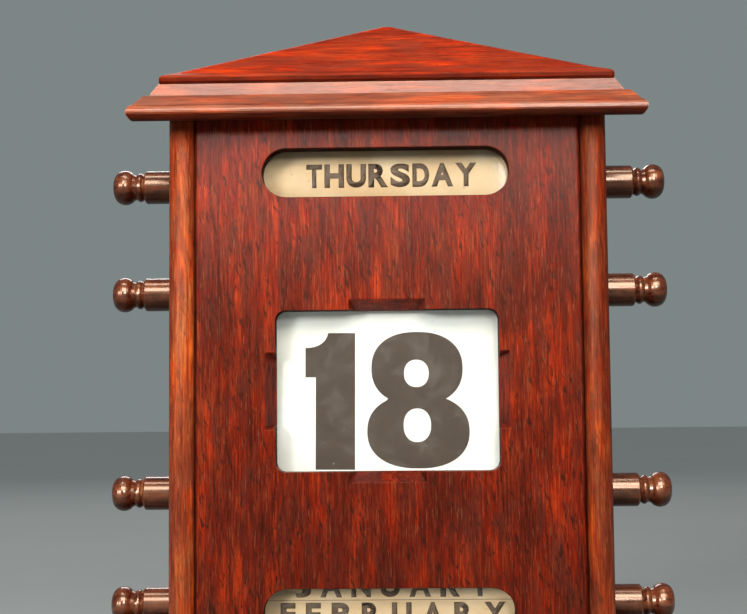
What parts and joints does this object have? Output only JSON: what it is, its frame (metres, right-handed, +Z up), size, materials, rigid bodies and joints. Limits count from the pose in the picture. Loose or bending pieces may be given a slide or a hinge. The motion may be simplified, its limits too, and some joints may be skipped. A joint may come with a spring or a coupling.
{
  "type": "perpetual desk calendar",
  "caption": "Wooden perpetual desk calendar: two labelled drums and a wound date band turned by side knobs, in a roofed case with a hinged back door.",
  "frame": {"origin": "on the underside of the baize pad, in the middle of the case's width and halfway between the side boards' front and back edges", "axes": "+X to the right seen from the front, +Y from the front panel to the back door, +Z up"},
  "size_m": [0.2656, 0.1188, 0.329],
  "materials": {
    "case_wood": "red-stained oak under gloss varnish",
    "front_wood": "red-stained oak under worn varnish, vertical grain",
    "roof_wood": "red-stained oak under gloss varnish, horizontal grain",
    "cornice_wood": "red-stained oak under gloss varnish",
    "knob_wood": "turned hardwood, dark red-brown varnish",
    "inner_wood": "plain unvarnished hardwood",
    "door_wood": "stained softwood, satin",
    "baize": "green wool baize",
    "window_glass": "clear, slightly dusty",
    "aged_card": "printed card, yellowed, matt",
    "white_linen": "sized printed linen, matt",
    "brass": "lacquered, slightly dull"
  },
  "bodies": {
    "case": {"left_side": "case_wood", "right_side": "case_wood", "front_panel": "front_wood", "cornice": "cornice_wood", "roof_front_rail": "inner_wood", "roof_back_rail": "inner_wood", "roof_block": "roof_wood", "front_plinth": "case_wood", "left_plinth": "case_wood", "right_plinth": "case_wood", "plinth_back_rail": "case_wood", "base_board": "inner_wood", "baize_pad": "baize", "glue_blocks": "inner_wood", "roof_screws": "brass", "base_screws": "brass", "day_glass": "window_glass", "date_glass": "window_glass", "month_glass": "window_glass", "glazing_sprigs": "brass", "door_stop": "inner_wood", "hinge_case_leaves": "brass", "hinge_pins": "brass", "hinge_case_screws": "brass", "turn_button_screw": "brass", "upper_guide_rod": "inner_wood", "lower_guide_rod": "inner_wood", "date_band": "white_linen"},
    "door": {"back_door": "door_wood", "hinge_door_leaves": "brass", "hinge_door_screws": "brass", "door_pull": "brass"},
    "button": {"turn_button": "brass"},
    "day_drum": {"day_drum_core": "inner_wood", "day_drum_discs": "inner_wood", "day_label_sleeve": "aged_card", "day_left_knob": "knob_wood", "day_right_knob": "knob_wood"},
    "month_drum": {"month_drum_core": "inner_wood", "month_drum_discs": "inner_wood", "month_label_sleeve": "aged_card", "month_left_knob": "knob_wood", "month_right_knob": "knob_wood"},
    "date_upper": {"date_upper_roller": "inner_wood", "date_upper_coil": "white_linen", "date_upper_left_knob": "knob_wood", "date_upper_right_knob": "knob_wood"},
    "date_lower": {"date_lower_roller": "inner_wood", "date_lower_coil": "white_linen", "date_lower_left_knob": "knob_wood", "date_lower_right_knob": "knob_wood"}
  },
  "joints": [
    {"name": "day_turn", "type": "hinge", "parent": "case", "child": "day_drum", "pos_m": [0, -0.0045, 0.2497], "axis": [-1, 0, 0], "continuous": true},
    {"name": "month_turn", "type": "hinge", "parent": "case", "child": "month_drum", "pos_m": [0, -0.0045, 0.0503], "axis": [-1, 0, 0], "continuous": true},
    {"name": "date_upper_turn", "type": "hinge", "parent": "case", "child": "date_upper", "pos_m": [0, -0.0045, 0.1975], "axis": [-1, 0, 0], "range_deg": [-6120, 4680]},
    {"name": "date_lower_turn", "type": "hinge", "parent": "case", "child": "date_lower", "pos_m": [0, -0.0045, 0.1025], "axis": [-1, 0, 0], "range_deg": [-6120, 4680]},
    {"name": "door_swing", "type": "hinge", "parent": "case", "child": "door", "pos_m": [-0.0876, 0.0471, 0.15], "axis": [0, 0, 1], "range_deg": [0, 110]},
    {"name": "button_turn", "type": "hinge", "parent": "case", "child": "button", "pos_m": [0.094, 0.0464, 0.19], "axis": [0, -1, 0], "range_deg": [0, 90]}
  ],
  "couplings": [
    {"joint": "date_lower_turn", "follows": "date_upper_turn", "ratio": 1}
  ]
}
